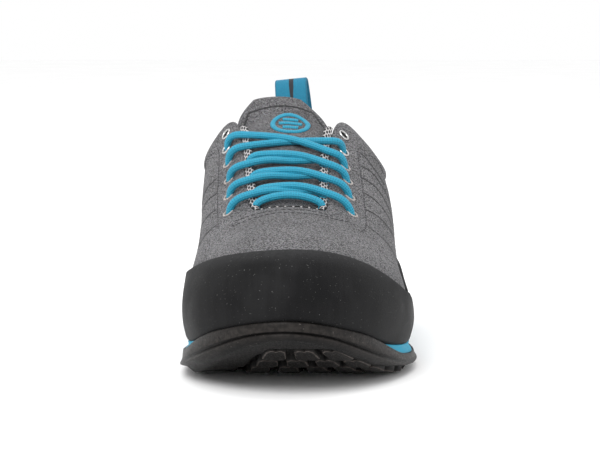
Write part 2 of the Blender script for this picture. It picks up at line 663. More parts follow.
class Nodes:
    """Short way to add and link shader nodes in one material."""

    def __init__(self, name, roughness, metallic=0.0, sheen=0.0, sheen_roughness=0.5, specular=0.5):
        self.material = bpy.data.materials.new(name)
        self.material.use_nodes = True
        self.tree = self.material.node_tree
        self.shader = self.tree.nodes["Principled BSDF"]
        uniform = {"Roughness": roughness, "Metallic": metallic, "Sheen Weight": sheen,
                   "Sheen Roughness": sheen_roughness, "Specular IOR Level": specular}
        for socket, value in uniform.items():
            self.shader.inputs[socket].default_value = value

    def add(self, kind, links=(), **settings):
        node = self.tree.nodes.new(kind)
        for key, value in settings.items():
            setattr(node, key, value)
        for socket, value in dict(links).items():
            self.feed(node.inputs[socket], value)
        return node

    def feed(self, socket, value):
        if isinstance(value, bpy.types.NodeSocket):
            self.tree.links.new(value, socket)
        elif isinstance(value, tuple) and len(value) == 3 and socket.type == "RGBA":
            socket.default_value = (*value, 1)
        else:
            socket.default_value = value

    def place(self):
        return self.add("ShaderNodeTexCoord").outputs["Object"]

    def uv(self):
        """The two separate values of the UV map."""
        both = self.add("ShaderNodeTexCoord").outputs["UV"]
        return self.add("ShaderNodeSeparateXYZ", {0: both}).outputs[:2]

    def noise(self, scale, detail=2.0, roughness=0.5, vector=None, colour=False):
        links = {"Vector": vector or self.place(), "Scale": scale, "Detail": detail, "Roughness": roughness}
        made = self.add("ShaderNodeTexNoise", links)
        return made.outputs["Color" if colour else "Fac"]

    def attribute(self, name):
        return self.add("ShaderNodeAttribute", attribute_name=name).outputs["Fac"]

    def math(self, operation, a, b=0.0):
        return self.add("ShaderNodeMath", {0: a, 1: b}, operation=operation).outputs[0]

    def plus(self, a, b):
        return self.math("ADD", a, b)

    def minus(self, a, b):
        return self.math("SUBTRACT", a, b)

    def times(self, a, b):
        return self.math("MULTIPLY", a, b)

    def wave(self, value, turns):
        """Sine of a value that makes so many turns in each unit."""
        return self.math("SINE", self.times(value, math.tau * turns))

    def band(self, value, low, high, to_low=0.0, to_high=1.0):
        links = {"Value": value, "From Min": low, "From Max": high, "To Min": to_low, "To Max": to_high}
        return self.add("ShaderNodeMapRange", links, interpolation_type="SMOOTHSTEP").outputs["Result"]

    def mix(self, share, a, b, blend="MIX"):
        made = self.add("ShaderNodeMix", data_type="RGBA", blend_type=blend)
        for number, value in ((0, share), (6, a), (7, b)):
            self.feed(made.inputs[number], value)
        return made.outputs[2]

    def fade(self, value, low, high, a, b):
        """One colour up to a low value and another from a high value on."""
        return self.mix(self.band(value, low, high), a, b)

    def bump(self, height, distance, strength=1.0, under=None):
        links = {"Height": height, "Distance": distance, "Strength": strength}
        if under:
            links["Normal"] = under
        return self.add("ShaderNodeBump", links).outputs["Normal"]

    def finish(self, colour=None, normal=None, roughness=None):
        for socket, value in (("Base Color", colour), ("Normal", normal), ("Roughness", roughness)):
            if value is not None:
                self.feed(self.shader.inputs[socket], value)
        return self.material


def suede_material(name, grain, lift=0.0):
    """Napped suede: a fine fleck of light, dark and faintly coloured fibres over soft mottling."""
    n = Nodes(name, 0.95, sheen=0.05, sheen_roughness=0.6, specular=0.15)
    fleck = n.noise(grain, 2.0, 0.7)
    nap = n.noise(900, 2.0, 0.6)
    tone = n.plus(n.times(fleck, 0.8), n.times(nap, 0.2))
    base = n.fade(tone, 0.41 - lift, 0.58 - lift, SUEDE_DARK, SUEDE_LIGHT)
    base = n.mix(0.16, base, n.noise(1500, 1.0, 0.5, colour=True), "OVERLAY")
    shade = n.band(n.noise(34, 3.0, 0.55), 0.3, 0.7, 0.86, 1.12)
    grey = n.add("ShaderNodeCombineColor", {0: shade, 1: shade, 2: shade}).outputs[0]
    base = n.mix(1.0, base, grey, "MULTIPLY")
    fine = n.bump(fleck, 0.00035, 0.55)
    return n.finish(base, n.bump(nap, 0.0003, 0.4, fine), n.band(nap, 0.3, 0.7, 0.88, 1.0))


def rand_material():
    """Smooth satin rubber, paler with wear along its top edge, with a few dust specks."""
    n = Nodes("rand_rubber", 0.55, specular=0.05)
    cloud = n.noise(60, 3.0)
    stretched = n.add("ShaderNodeMapping", {0: n.place(), 3: RAND_STREAKS}).outputs[0]
    patches = n.plus(cloud, n.times(n.noise(1.0, 2.0, vector=stretched), 0.4))
    worn = n.times(n.band(n.attribute("rise"), 0.80, 0.99), n.band(n.noise(500, 3.0), 0.25, 0.75, 0.55, 1.0))
    base = n.mix(worn, n.fade(patches, 0.5, 0.95, RUBBER, RUBBER_PALE), RUBBER_WORN)
    base = n.mix(n.times(n.band(n.noise(1250, 1.0), 0.735, 0.765), 0.30), base, DUST)
    rough = n.plus(n.band(cloud, 0.3, 0.7, 0.46, 0.58), n.times(worn, 0.25))
    return n.finish(base, n.bump(n.noise(1600, 2.0), 0.0002, 0.45), rough)


def tread_material():
    """Grainy matte rubber, brownish where it has been buffed."""
    n = Nodes("outsole_rubber", 0.5, specular=0.09)
    grain = n.noise(1300, 3.0, 0.6)
    worn = n.times(n.attribute("wear"), n.band(n.noise(420, 3.0), 0.3, 0.7, 0.3, 1.0))
    base = n.fade(n.noise(90, 3.0), 0.35, 0.7, TREAD_RUBBER, TREAD_PALE)
    base = n.mix(worn, base, TREAD_WORN)
    base = n.mix(n.times(n.band(n.noise(900, 1.0), 0.73, 0.76), 0.4), base, TREAD_DUST)
    return n.finish(base, n.bump(grain, 0.0003, 0.6), n.band(grain, 0.3, 0.7, 0.30, 0.55))


def foam_material():
    """Moulded foam with a fine skin of pits and a faint mottling."""
    n = Nodes("foam", 0.6, specular=0.22)
    pits = n.add("ShaderNodeTexVoronoi", {"Vector": n.place(), "Scale": 900.0}).outputs["Distance"]
    cloud = n.noise(120, 3.0)
    base = n.fade(cloud, 0.3, 0.7, FOAM, FOAM_PALE)
    base = n.mix(n.band(n.attribute("rise"), 0.0, 0.25, 0.35, 0.0), base, FOAM_DIRT)
    return n.finish(base, n.bump(pits, 0.0002, 0.4), n.band(cloud, 0.3, 0.7, 0.55, 0.68))


def cord_material():
    """Round braid: two families of yarns winding opposite ways, with shaded gaps between them."""
    n = Nodes("cord", 0.6, sheen=0.08, sheen_roughness=0.4, specular=0.3)
    around, along = n.uv()
    turns = n.times(around, math.tau * BRAID_YARNS)
    run = n.times(along, math.tau * BRAID_CELLS)
    weave = n.times(n.math("SINE", n.plus(run, turns)), n.math("SINE", n.minus(run, turns)))
    fibre = n.noise(2200, 2.0)
    base = n.fade(weave, -1.0, -0.15, CORD_GAP, CORD)
    base = n.mix(n.band(fibre, 0.3, 0.7, 0.0, 0.28), base, CORD_PALE)
    return n.finish(base, n.bump(fibre, 0.0001, 0.4, n.bump(n.band(weave, -0.9, 0.9), 0.0003, 0.65)))


def webbing_material():
    """Woven tape: fine ribs across it and a dark wedge down its middle that fades towards the base."""
    n = Nodes("webbing", 0.7, sheen=0.12, specular=0.35)
    across, along = n.uv()
    weave = n.times(n.wave(along, 1100), n.wave(across, 22))
    middle = n.math("ABSOLUTE", n.minus(across, n.plus(0.5, n.times(n.noise(300), 0.03))))
    stripe = n.math("LESS_THAN", middle, n.band(n.attribute("height"), 0.108, 0.133, 0.004, 0.075))
    yarn = n.fade(n.noise(1500, 2.0), 0.3, 0.7, WEBBING, WEBBING_PALE)
    base = n.fade(weave, -1.0, 0.0, WEBBING_DARK, yarn)
    selvedge = n.band(n.math("ABSOLUTE", n.minus(across, 0.5)), 0.44, 0.47)
    base = n.mix(n.times(selvedge, 0.35), base, WEBBING_DARK)
    return n.finish(n.mix(stripe, base, WEBBING_STRIPE), n.bump(weave, 0.0002, 0.6))


def thread_material(name, colour):
    """Twisted thread in a colour and a lighter shade of it."""
    n = Nodes(name, 0.6, specular=0.35)
    twist = n.noise(1800, 2.0)
    lighter = tuple(min(1.0, c * 1.5 + 0.01) for c in colour)
    return n.finish(n.fade(twist, 0.35, 0.65, colour, lighter), n.bump(twist, 0.0001, 0.5))


def net_material():
    """Knit trim: a pale net with long dark cells in a triangular lattice."""
    n = Nodes("net_trim", 0.85, sheen=0.1, specular=0.3)
    both = n.add("ShaderNodeTexCoord").outputs["UV"]
    total = 0.0
    for angle in np.radians((0, 60, 120)):
        direction = (math.cos(angle) * NET_CELLS, math.sin(angle) * NET_CELLS * NET_STRETCH, 0)
        dot = n.add("ShaderNodeVectorMath", {0: both, 1: direction}, operation="DOT_PRODUCT").outputs["Value"]
        total = n.plus(total, n.math("COSINE", n.times(dot, math.tau)))
    dark = n.band(total, -0.85, -0.15)
    return n.finish(n.mix(dark, NET_LIGHT, NET_DARK), n.bump(dark, 0.0004, -0.7))


def beige_material():
    """Raw cut edge of the suede."""
    n = Nodes("cut_edge", 0.9, specular=0.25)
    fibre = n.noise(1400, 3.0)
    return n.finish(n.fade(fibre, 0.35, 0.65, BEIGE_DARK, BEIGE), n.bump(fibre, 0.0002, 0.5))


def lining_material(name, dark, light):
    """Dark textile with a small plain weave."""
    n = Nodes(name, 0.95, sheen=0.2, specular=0.2)
    x, y, z = n.add("ShaderNodeSeparateXYZ", {0: n.place()}).outputs
    weave = n.times(n.wave(n.plus(y, x), LINING_THREADS), n.wave(n.minus(z, x), LINING_THREADS))
    base = n.fade(n.plus(weave, n.noise(900, 3.0)), -0.4, 1.3, dark, light)
    return n.finish(base, n.bump(weave, 0.0003, 0.5))


def metal_material():
    """Plated steel with fine turned scratches."""
    n = Nodes("metal", 0.25, metallic=1.0)
    scratch = n.noise(900, 4.0, 0.7)
    base = n.fade(scratch, 0.3, 0.7, METAL_DARK, METAL_LIGHT)
    return n.finish(base, n.bump(scratch, 0.00005, 0.4), n.band(scratch, 0.3, 0.7, 0.18, 0.36))


# Building blocks.

def finish_piece(piece, replaced=()):
    """Gives a piece its slot, the nodes that it replaces and its body."""
    if replaced:
        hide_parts(*replaced)
    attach(piece, BODY)
    return piece


def make_object(name, points, faces, materials, material_rows=None):
    mesh = bpy.data.meshes.new(name)
    mesh.from_pydata(np.asarray(points).tolist(), [], faces)
    for made in materials:
        mesh.materials.append(made)
    if material_rows is not None:
        mesh.polygons.foreach_set("material_index", material_rows)
    mesh.update()
    mesh.shade_smooth()
    piece = bpy.data.objects.new(name, mesh)
    bpy.context.scene.collection.objects.link(piece)
    return piece


def set_attribute(piece, name, values):
    layer = piece.data.attributes.new(name, "FLOAT", "POINT")
    layer.data.foreach_set("value", np.asarray(values, np.float32).ravel())


def set_uv(piece, uv):
    """UV of each corner from its vertex's own pair."""
    layer = piece.data.uv_layers.new(name="UVMap")
    corners = np.empty(len(piece.data.loops), np.int32)
    piece.data.loops.foreach_get("vertex_index", corners)
    layer.data.foreach_set("uv", np.asarray(uv, np.float32).reshape(-1, 2)[corners].ravel())


def unit(vectors):
    return vectors / np.maximum(np.linalg.norm(vectors, axis=-1, keepdims=True), 1e-12)


def rounding(distance, radius):
    """0 at an edge, 1 from the radius on, with a round shoulder between."""
    f = np.clip(np.asarray(distance, float) / radius, 0, 1)
    return np.sqrt(1 - (1 - f) ** 2)


def relief(t, v):
    """Distance that the suede stands out from the wall: creases, the collar's padding and slight waves."""
    t, v = np.broadcast_arrays(np.asarray(t, float), np.asarray(v, float))
    around = (t - TOE + STATIONS / 2) % STATIONS - STATIONS / 2
    out = np.zeros(t.shape)
    for crease in CREASES:
        start = np.array((crease.station_a, crease.share_a)) * WALL_SCALE
        run = np.array((crease.station_b, crease.share_b)) * WALL_SCALE - start
        point = np.stack([around, v], -1) * WALL_SCALE - start
        along = np.clip((point @ run) / (run @ run), 0, 1)
        distance = np.linalg.norm(point - along[..., None] * run, axis=-1)
        fade = np.sin(math.pi * np.clip(along * 0.9 + 0.05, 0, 1))
        out += crease.depth * fade * np.exp(-(distance / crease.width) ** 2)
    behind = np.minimum(t % STATIONS, STATIONS - t % STATIONS)
    padded = 1 - smooth_share(behind, *ROLL_FADE)
    out += padded * ROLL_BULGE * np.sin(math.pi * np.clip((v - ROLL_FOOT) / ROLL_HEIGHT, 0, 1)) ** 0.8
    out -= padded * ROLL_SEAM_DEPTH * np.exp(-((v - ROLL_SEAM) / ROLL_SEAM_WIDTH) ** 2)
    out += WAVE_DEPTH * np.sin(around * 3.1 + v * 2.3) * np.sin(v * 3.7 - around * 1.3)
    return out * MM * smooth_share(v, 0.2, 0.9)


def suede(t, v):
    """Point of the suede's surface, with its relief."""
    return wall(t, v, relief(t, v))


def run_of(path):
    """Distance run along a path up to each of its points."""
    return np.concatenate([[0], np.cumsum(np.linalg.norm(np.diff(path, axis=0), axis=1))])


def at_run(values, run, places):
    """Values given along a path, at the asked distances along it."""
    return np.stack([np.interp(places, run, column) for column in np.transpose(values)], -1)


def placed(points, matrix):
    """Points moved by a transform."""
    matrix = np.array(matrix)
    return points @ matrix[:3, :3].T + matrix[:3, 3]


def eyelet_frame(t, v):
    """Transform that puts an eyelet on the suede, facing out."""
    turn = Vector(wall_normal(t, v)).to_track_quat("Z", "Y").to_matrix().to_4x4()
    return Matrix.Translation(Vector(suede(t, v))) @ turn


def suede_path(corners, origin, step=0.6 * MM):
    """Even points and normals along a seam on the suede, from its corners (station, share)."""
    rough = smooth_path([(origin + a, b) for a, b in corners], 40 * len(corners))
    run = run_of(suede(*rough.T))
    t, v = at_run(rough, run, np.linspace(0, run[-1], max(3, int(run[-1] / step)))).T
    return suede(t, v), wall_normal(t, v)


def even_path(points, step):
    """Even steps along a smooth curve through the given points."""
    rough = smooth_path(points, 60 * len(points))
    run = run_of(rough)
    return at_run(rough, run, np.linspace(0, run[-1], max(4, int(run[-1] / step))))


class Heap:
    """Vertices, faces and UVs of several shapes that end up in one piece."""

    def __init__(self):
        self.points, self.faces, self.uv, self.rows, self.count = [], [], [], [], 0

    def add(self, points, faces, uv=None, row=0):
        points = np.asarray(points).reshape(-1, 3)
        self.points.append(points)
        self.faces += [tuple(i + self.count for i in face) for face in faces]
        self.uv.append(np.zeros((len(points), 2)) if uv is None else np.asarray(uv).reshape(-1, 2))
        self.rows += [row] * len(faces)
        self.count += len(points)

    def build(self, name, materials):
        piece = make_object(name, np.concatenate(self.points), self.faces, materials, self.rows)
        set_uv(piece, np.concatenate(self.uv))
        return piece

    def finish(self, name, materials, slot, replaced=()):
        return finish_piece(self.build(name, materials), replaced)


def end_faces(rings, count):
    """The two flat ends of a tube."""
    return [tuple(range(count)), tuple((rings - 1) * count + i for i in range(count))[::-1]]


def tube_shape(path, radius, sides=14, flatten=1.0, normal=(0.0, 0.0, 1.0)):
    """Points, faces and UV of a tube along a path, with flat ends; radius may vary along it."""
    radius = np.broadcast_to(np.asarray(radius, float), len(path))
    tangent = unit(np.gradient(path, axis=0))
    side = unit(np.cross(tangent, np.broadcast_to(normal, path.shape)))
    up = np.cross(side, tangent)
    angle = np.linspace(0, math.tau, sides, endpoint=False)
    ring = np.cos(angle)[None, :, None] * side[:, None] + np.sin(angle)[None, :, None] * up[:, None] * flatten
    points = path[:, None] + ring * radius[:, None, None]
    uv = np.stack(np.broadcast_arrays(angle[None] / math.tau, run_of(path)[:, None]), -1)
    faces = [f[::-1] for f in grid_faces(len(path), sides, closed=True)]
    return points, faces + end_faces(len(path), sides), uv


def stitch_shape(centre, along, up, length):
    """A short plump stitch lying on a surface."""
    stations, plump = np.array(STITCH_SHAPE).T
    sag = 0.25 * STITCH_RADIUS * stations[:, None] ** 2
    path = centre + along * stations[:, None] * length / 2 - up * sag
    return tube_shape(path, STITCH_RADIUS * plump, 6, normal=up)[:2]


def stitch_run(heap, places, normals, pitch=STITCH_PITCH, length=STITCH_LENGTH, row=0):
    """Lays stitches one after the other along a line on a surface."""
    run = run_of(places)
    for middle in np.arange(pitch / 2, run[-1] - pitch / 2, pitch):
        centre, ahead = at_run(places, run, (middle, middle + pitch / 4))
        normal = unit(at_run(normals, run, middle))
        lifted = centre + normal * STITCH_RADIUS * STITCH_LIFT
        heap.add(*stitch_shape(lifted, unit(ahead - centre), normal, length), row=row)


def ribbon_shape(places, normals, width):
    """Thin strip along a line on a surface, highest in its middle, that tapers away at both ends."""
    tangent = unit(np.gradient(places, axis=0))
    side = np.cross(tangent, normals)
    share = np.linspace(0, 1, len(places))
    taper = rounding(np.minimum(share, 1 - share), 0.08)[:, None] * width / 2
    rows = np.stack([places - side * taper, places + normals * LINE_HEIGHT, places + side * taper], 1)
    return rows + normals[:, None] * LINE_LIFT, grid_faces(len(places), 3)


# Upper.

def make_upper(looks):
    """Suede outside, lining inside and a rounded edge between them, with the eyelet holes cut."""
    t = np.arange(WALL_COLUMNS) * STATIONS / WALL_COLUMNS
    stop = EDGE - RIM_START
    outer = suede(*np.meshgrid(t, np.linspace(0, stop, WALL_RISE)))
    inner_t, inner_v = np.meshgrid(t, np.linspace(stop, 0, WALL_RISE // 2))
    thickness = WALL + (COLLAR_WALL - WALL) * collar_padding(inner_t, inner_v)
    inner = wall(inner_t, inner_v, -thickness)
    middle = (outer[-1] + inner[0]) / 2
    half = (outer[-1] - inner[0]) / 2
    tip = unit(wall(t, EDGE) - wall(t, EDGE - 0.1))
    reach = np.minimum(np.linalg.norm(half, axis=-1, keepdims=True), RIM_REACH)
    angles = np.linspace(0, math.pi, RIM_STEPS + 2)[1:-1]
    rim = np.stack([middle + half * math.cos(a) + tip * reach * math.sin(a) for a in angles])
    rows = np.concatenate([outer, rim, inner])
    faces = grid_faces(len(rows), WALL_COLUMNS, closed=True)
    last = (len(rows) - 1) * WALL_COLUMNS
    pairs = [(c, (c + 1) % WALL_COLUMNS) for c in range(WALL_COLUMNS)]
    foot = [(after, c, last + c, last + after) for c, after in pairs]
    suede_end = (len(outer) + RIM_STEPS // 2) * WALL_COLUMNS
    material_rows = [0 if f[0] < suede_end else 1 for f in faces] + [1] * len(foot)
    materials = [looks[look] for look in ("suede", "lining", "cut_edge")]
    upper = make_object("upper_suede", rows.reshape(-1, 3), faces + foot, materials, material_rows)
    drill_eyelets(upper, materials)
    return finish_piece(upper, ["upper"])


def drill_eyelets(upper, materials):
    """Cuts the eyelet holes; their walls get the last of the upper's materials."""
    shape = bmesh.new()
    for _, row, t, v in eyelet_places():
        radius = METAL_HOLE if row in METAL_ROWS else PLAIN_HOLE
        bmesh.ops.create_cone(shape, cap_ends=True, segments=24, radius1=radius, radius2=radius,
                              depth=DRILL_LENGTH, matrix=eyelet_frame(t, v))
    mesh = bpy.data.meshes.new("eyelet_drills")
    shape.to_mesh(mesh)
    shape.free()
    for made in materials:
        mesh.materials.append(made)
    mesh.polygons.foreach_set("material_index", [len(materials) - 1] * len(mesh.polygons))
    drills = bpy.data.objects.new("eyelet_drills", mesh)
    bpy.context.scene.collection.objects.link(drills)
    modifier = upper.modifiers.new("holes", "BOOLEAN")
    modifier.operation = "DIFFERENCE"
    modifier.object = drills
    apply_modifiers(upper)
    bpy.data.objects.remove(drills)


def mirrored(half):
    """Corners of a line that is the same on both sides of the heel, from those of one side."""
    return [(-t, v) for t, v in half[:0:-1]] + list(half)


def make_seams(looks):
    """Stitches along the seams and fine cut lines on the suede."""
    stitches, lines = Heap(), Heap()
    seams = [(seam, TOE) for seam in TOE_SEAMS] + [(mirrored(seam), 0.0) for seam in HEEL_SEAMS]
    for corners, origin in seams:
        stitch_run(stitches, *suede_path(corners, origin))
    for corners in SIDE_LINES:
        lines.add(*ribbon_shape(*suede_path(corners, TOE), SIDE_LINE_WIDTH))
    lines.add(*ribbon_shape(*suede_path(BACK_LINE, 0.0), BACK_LINE_WIDTH))
    stitches.finish("upper_stitches", [looks["thread"]], "suede")
    lines.finish("upper_cut_lines", [looks["line"]], "suede")


# Rands.


def rand_piece(name, ends, tops, thickness, look, node):
    """Rubber band over the wall: a rounded top edge, tapered ends and a foot tucked in to the sole."""
    t = np.linspace(*ends, int((ends[1] - ends[0]) / RAND_COLUMN_STEP))
    top = ring_value(RAND_TOPS[tops], t)
    share = (0.5 - 0.5 * np.cos(np.linspace(0, math.pi, RAND_FINE_ROWS)))[:, None]
    v = RAND_FOOT + (top - RAND_FOOT) * share
    stations = np.broadcast_to(t, v.shape)
    shape_top = rounding(top - v, RAND_EDGE_ROUND)
    shape_foot = rounding(v - RAND_FOOT, RAND_FOOT_ROUND)
    shape_foot = RAND_FOOT_THICKNESS + (1 - RAND_FOOT_THICKNESS) * shape_foot
    shape_end = rounding(np.minimum(t - ends[0], ends[1] - t), RAND_END_ROUND)
    waves = RAND_WAVES * np.sin(stations * 5.3 + v * 4.1)
    out = shape_top * shape_end * (thickness * shape_foot + waves) + RAND_LIFT
    rand = make_object(name, wall(stations, v, out).reshape(-1, 3), grid_faces(*v.shape), [look])
    set_attribute(rand, "rise", np.broadcast_to(share, v.shape))
    return finish_piece(rand, [node])


# Sole.

def fine_stations(step=0.05):
    half = list(np.arange(0, TOE + 1e-6, step))
    return np.array(half + [STATIONS - t for t in half[-2:0:-1]])


# Section of the foam's flank: share of its depth, and distance out from the feather line in millimetres.
# Under the toe bumper it stands out less.
FOAM_PROFILE = ((0.0, -2.0), (0.0, 1.7), (0.05, 2.25), (0.12, 2.4), (0.25, 2.15), (0.45, 2.15), (0.62, 2.45),
                (0.78, 2.95), (0.92, 3.5), (1.0, 3.65))
FOAM_WRAPPED_OUT = 1.4


def make_midsole(looks):
    """Foam wedge: a lip under the upper, a hollow flank and a flared foot."""
    t = fine_stations()
    top, depth = feather_height(t) - GAP, flank(t)
    wrapped = toe_share(t)
    rings = []
    for share, out in FOAM_PROFILE:
        reach = np.minimum(out * MM, foam_edge(t) + 0.05 * MM)
        reach = reach * (1 - wrapped) + min(out, FOAM_WRAPPED_OUT) * MM * wrapped
        rings.append(sole_line(t, reach, top - share * depth))
    faces = [f[::-1] for f in grid_faces(len(rings), len(t), closed=True)]
    foam = make_object("midsole_foam", np.array(rings).reshape(-1, 3), faces, [looks["foam"]])
    set_attribute(foam, "rise", [[1 - share] * len(t) for share, _ in FOAM_PROFILE])
    return finish_piece(foam, ["midsole"])


# Footbed's rim, from its upper face down: distances in from the lining in millimetres, and height shares.
FOOTBED_RIM = ((3.0, 1.0), (1.5, 0.95), (0.5, 0.78), (0.05, 0.5), (0.15, 0.2), (0.7, 0.0))
FOOTBED_DISH = 0.9 * MM
FOOTBED_FILL = 14


def make_footbed(looks):
    """Footbed on the foam, slightly dished, with a rounded rim."""
    t = fine_stations()
    low = feather_height(t) + GAP / 2
    rings = [sole_line(t, -(WALL + 2 * GAP + inset * MM), low + INSOLE_THICKNESS * rise)
             for inset, rise in FOOTBED_RIM]

    def lift(end, share, _, z):
        return z - FOOTBED_DISH * math.sin(math.pi * share) if end == 0 else z

    bed = ring_solid("footbed", rings, FOOTBED_FILL, looks["footbed"], lift)
    return finish_piece(bed, ["insole"])


# Buffed, paler rings of the outsole, counted from the inner one, and how buffed they are.
OUTSOLE_WEAR = ((3, 0.14), (4, 0.14), (5, 0.2), (8, 0.16), (9, 0.12))


# Rings of the outsole's edge between the bumper's rim and the flare: share of the way down, then distance out
# in millimetres along the sides and at the toe.
EDGE_RINGS = ((0.56, -0.5, 0.0), (0.63, -0.5, -2.0), (0.76, -0.4, -1.7))

# How far the inner ring of the bumper's top edge stands inside it, how far its lip rises along the sides, and
# the height shares of its lip and rim above the edge. Then the number of points across the outsole's fills.
LIP_INSIDE = 0.35 * MM
LIP_RISE = 0.2 * MM
LIP_SHARE = 0.015
RIM_SHARE = -0.06
SOLE_FILL = 26


def make_outsole(looks):
    """Floor under the foam, a bumper round the toe, a flared edge and the ground of the tread."""
    t = fine_stations()
    feather = feather_height(t)
    floor = feather - 2 * GAP - flank(t)
    wrapped = toe_share(t)
    bumper = RAND_CLEARANCE + RAND_WALL + BUMPER_CLEARANCE
    plain = [sole_line(t, foam_edge(t) + step * FLOOR_STEP, floor) for step in range(4)]
    tread = tread_height(plain[0][:, 1])
    corner = np.minimum(floor - SOLE_EDGE_DROP, tread + SOLE_EDGE_RISE)
    bottom = np.minimum(tread + LUG_HEIGHT * (1 - wrapped), corner - SOLE_TREAD_DROP)
    flare = sole_line(t, SOLE_EDGE_OUT - SOLE_EDGE_CUT * wrapped, corner)
    foot = sole_line(t, SOLE_TREAD_OUT - SOLE_TREAD_CUT * wrapped, bottom)
    under = blend(plain[1], sole_line(t, bumper, feather - 0.8 * MM), wrapped)
    inner = blend(plain[2], wall(t, BUMPER_SHARE, bumper - LIP_INSIDE), wrapped)
    raised = plain[2] + np.array((0, 0, LIP_RISE))
    lip = blend(raised, wall(t, BUMPER_SHARE + LIP_SHARE, bumper + BUMPER_WALL * 0.55), wrapped)
    rim = blend(plain[3], wall(t, BUMPER_SHARE + RIM_SHARE, bumper + BUMPER_WALL), wrapped)
    outward = unit((flare - plain[0]) * np.array((1, 1, 0))) * MM
    edge = [rim * (1 - share) + flare * share + outward * (side + (toe - side) * wrapped[:, None])
            for share, side, toe in EDGE_RINGS]
    shoulders = [flare * 0.86 + edge[-1] * 0.14, flare * 0.93 + foot * 0.07]
    low = flare * 0.35 + foot * 0.65 + np.array((0, 0, -0.15 * MM))
    rings = [plain[0], under, inner, lip, rim, *edge, *shoulders, low, foot]

    def lift(end, share, y, z):
        if end == 0:
            return z
        return tread_height(y) + LUG_HEIGHT * (1 - climbing_share(share, y)) + scoop(share, y)

    sole = ring_solid("outsole_rubber", rings, SOLE_FILL, looks["outsole"], lift)
    wear = np.zeros(len(sole.data.vertices))
    for ring, share in OUTSOLE_WEAR:
        wear[ring * len(t):(ring + 1) * len(t)] = share
    set_attribute(sole, "wear", wear)
    finish_piece(sole, ["outsole"])
    return make_lugs(looks)


def scoop(share, y):
    """Shallow hollow along the smooth climbing zone, inside its rim."""
    s = table_s(y)
    across = np.sin(math.pi * np.clip((share - 0.04) / 0.30, 0, 1))
    along = smooth_share(s, 18, 40) * (1 - smooth_share(s, 66, 84))
    return SCOOP_DEPTH * across * along * climbing_share(share, y)


def lug_outline(corners, cut, notch):
    """Lug outline with its corners cut off and, if asked, a notch in its front edge."""
    outline = []
    for i, corner in enumerate(corners):
        corner = np.array(corner)
        before, after = np.array(corners[i - 1]), np.array(corners[(i + 1) % 4])
        outline.append(corner + unit(before - corner) * cut)
        outline.append(corner + unit(after - corner) * cut)
    if notch:
        a, b = outline[1], outline[2]
        middle, along = (a + b) / 2, unit(b - a)
        inward = unit(np.mean(corners, 0) - middle)
        outline[2:2] = [middle - along * notch, middle + inward * notch * 0.8, middle + along * notch]
    return np.array(outline)


def lug_shape(corners, height, cut=LUG_CUT, notch=0.0):
    """Drafted block below the tread with a rounded lower edge; its top is sunk in the rubber."""
    outline = lug_outline(corners, cut, notch)
    inward = unit(outline.mean(0) - outline)
    ground = tread_height(outline[:, 1]) + LUG_HEIGHT
    rings = []
    for ring in LUG_PROFILE:
        z = ground - ring.depth * height + ring.rise * MM
        rings.append(np.column_stack([outline + inward * ring.inset * MM, z]))
    count = len(outline)
    faces = [f[::-1] for f in grid_faces(len(rings), count, closed=True)]
    faces.append(tuple((len(rings) - 1) * count + i for i in range(count))[::-1])
    return np.array(rings).reshape(-1, 3), faces, np.repeat([ring.wear for ring in LUG_PROFILE], count)


def make_lugs(looks):
    """All the tread's lugs and the arch's ribs as one piece."""
    shapes = []
    for number, row in enumerate(LUG_ROWS):
        for i, span in enumerate(lug_spans(row)):
            notch = LUG_NOTCH if (i + number) % 2 == 0 or number < 3 else 0.0
            shapes.append(lug_shape(lug_corners(row.s, row.depth, *span), LUG_HEIGHT, notch=notch))
    shapes += [lug_shape(lug_corners(s, RIB_DEPTH, *RIB_SPAN), RIB_HEIGHT, RIB_CUT) for s in ARCH_RIBS]
    heap = Heap()
    for points, faces, _ in shapes:
        heap.add(points, faces)
    lugs = heap.finish("outsole_lugs", [looks["outsole"]], "outsole_rubber")
    set_attribute(lugs, "wear", np.concatenate([wear for _, _, wear in shapes]))
    lugs.data.set_sharp_from_angle(angle=math.radians(40))
    return lugs


# Tongue.

# The tongue's fine grid, the rounds of smoothing over its rows and the rounding of its edge. Then its seam's
# distance in from the sides, the share that turns the distance from the top into one from the sides, the
# groove's depth, the depth of slight waves and the width of the seam's line.
TONGUE_GRID = (150, 70)
TONGUE_SMOOTHING = 60
TONGUE_EDGE_ROUND = 2.6 * MM
TONGUE_SEAM = 6.0 * MM
TONGUE_HEAD_SEAM = 0.55
TONGUE_GROOVE = 0.55 * MM
TONGUE_WAVES = 0.25 * MM
TONGUE_SEAM_WIDTH = 1.1 * MM


def tongue_surface():
    """Fine outer face of the tongue and its normals, smoothed through the solid's own rows."""
    rows, columns = TONGUE_GRID
    fine = np.array([smooth_path(line, columns) for line in tongue_rows()])
    fine = np.array([smooth_path(fine[:, c], rows) for c in range(columns)]).transpose(1, 0, 2)
    for _ in range(TONGUE_SMOOTHING):
        fine[1:-1] = (fine[:-2] + 2 * fine[1:-1] + fine[2:]) / 4
    normal = unit(np.cross(np.gradient(fine, axis=1), np.gradient(fine, axis=0)))
    return fine, normal


def run_over(face, axis):
    """Distance run over a surface's grid along one of its axes."""
    steps = np.linalg.norm(np.diff(face, axis=axis), axis=-1)
    return np.insert(np.cumsum(steps, axis), 0, 0.0, axis)


